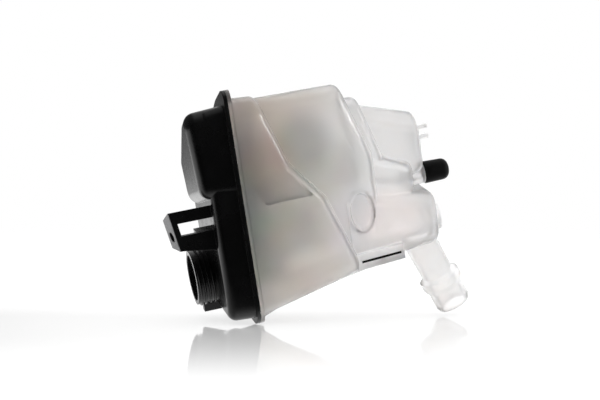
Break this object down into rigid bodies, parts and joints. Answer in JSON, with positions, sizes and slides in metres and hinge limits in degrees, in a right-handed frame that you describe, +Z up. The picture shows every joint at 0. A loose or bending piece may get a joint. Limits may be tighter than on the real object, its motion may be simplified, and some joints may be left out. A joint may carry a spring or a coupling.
{
  "type": "coolant expansion tank",
  "caption": "Welded plastic coolant expansion tank: black top with threaded filler neck and bolt bracket, stepped milky bottom with hose spigot and a capped overflow nipple.",
  "frame": {"origin": "middle of the filler mouth, on its rim", "axes": "+Z up along the filler neck, the way a closure comes off; +X along the tank, from the neck to the domed end; +Y to the back, away from the bracket side"},
  "size_m": [0.2415, 0.115, 0.2599],
  "materials": {
    "black_plastic": "moulded, lightly glossy",
    "milky_plastic": "translucent, natural",
    "black_rubber": "matt"
  },
  "bodies": {
    "tank": {"upper_shell": "black_plastic", "lower_shell": "milky_plastic", "rail_strip": "black_rubber"},
    "cap": {"nipple_cap": "black_rubber"}
  },
  "joints": [
    {"name": "cap_pull", "type": "slide", "parent": "tank", "child": "cap", "axis": [0, 0, -1], "range_m": [0, 0.03]}
  ]
}
